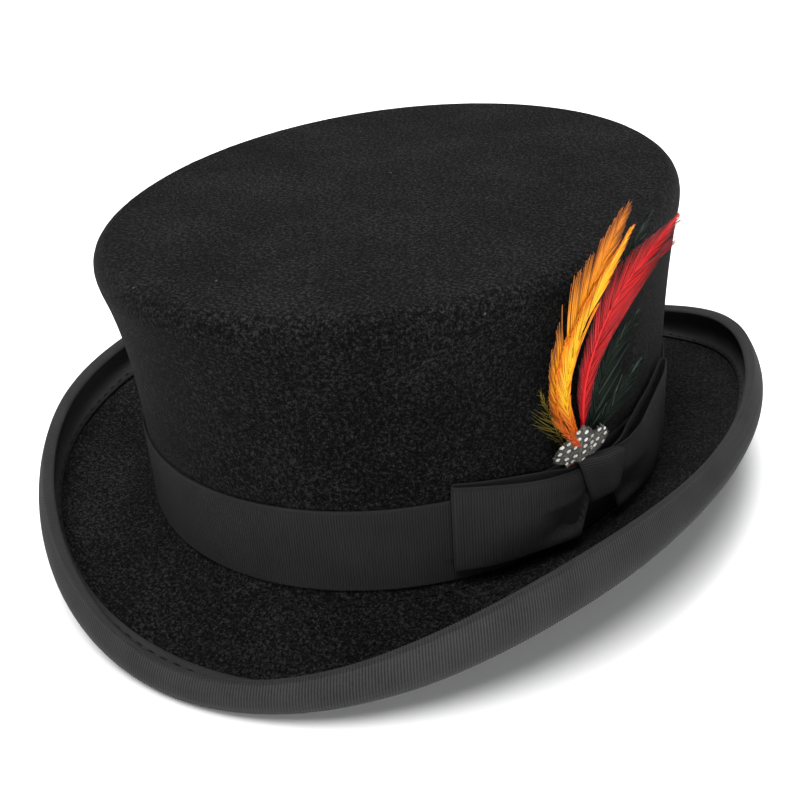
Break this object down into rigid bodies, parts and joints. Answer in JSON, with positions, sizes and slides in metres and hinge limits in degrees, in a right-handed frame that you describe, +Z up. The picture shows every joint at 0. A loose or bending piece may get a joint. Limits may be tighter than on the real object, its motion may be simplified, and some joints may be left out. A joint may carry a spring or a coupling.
{
  "type": "top hat",
  "caption": "Black wool felt top hat with a flared crown, curled bound brim, ribbon band, side bow and a removable plume of coloured feathers.",
  "frame": {"origin": "centre of the head opening, at the height where the crown meets the brim", "axes": "+Z up through the crown, -Y towards the front of the hat, +X towards the wearer's left, where the bow is"},
  "size_m": [0.244, 0.289, 0.1313],
  "materials": {
    "felt": "matte black wool felt with a short fuzzy nap",
    "band_ribbon": "black grosgrain ribbon with fine ribs",
    "binding_ribbon": "black grosgrain ribbon folded over the edge",
    "bow_ribbon": "black grosgrain ribbon with fine ribs",
    "black_thread": "black polyester sewing thread",
    "sweatband_leather": "smooth dark brown leather",
    "reed": "plastic reed",
    "sweatband_ribbon": "narrow black satin ribbon",
    "label": "blank woven label",
    "lining_satin": "black satin lining",
    "orange_feather": "dyed cock feather, yellow to orange-brown",
    "red_feather": "dyed cock feather, red",
    "green_feather": "iridescent dark green feather",
    "wisp_feather": "olive hackle feather",
    "guinea_feather": "grey guinea fowl feather with pale round spots",
    "patch": "black felt backing patch"
  },
  "bodies": {
    "hat": {"felt_body": "felt", "hat_band": "band_ribbon", "brim_binding": "binding_ribbon", "binding_stitches": "black_thread", "bow_front_wing": "bow_ribbon", "bow_rear_wing": "bow_ribbon", "bow_knot": "bow_ribbon", "bow_tack_stitches": "black_thread", "sweatband": "sweatband_leather", "sweatband_reed": "reed", "sweatband_bow": "sweatband_ribbon", "sweatband_stitches": "black_thread", "size_label": "label", "lining_side": "lining_satin", "lining_tip": "lining_satin"},
    "feather_plume": {"orange_feather_long": "orange_feather", "orange_feather_forked": "orange_feather", "red_feather": "red_feather", "green_feathers": "green_feather", "hackle_wisps": "wisp_feather", "guinea_fowl_feathers": "guinea_feather", "quill_thread": "black_thread", "backing_patch": "patch"}
  },
  "joints": [
    {"name": "plume_lift", "type": "slide", "parent": "hat", "child": "feather_plume", "axis": [0.0651, -0.0251, 0.9976], "range_m": [0, 0.025]}
  ]
}
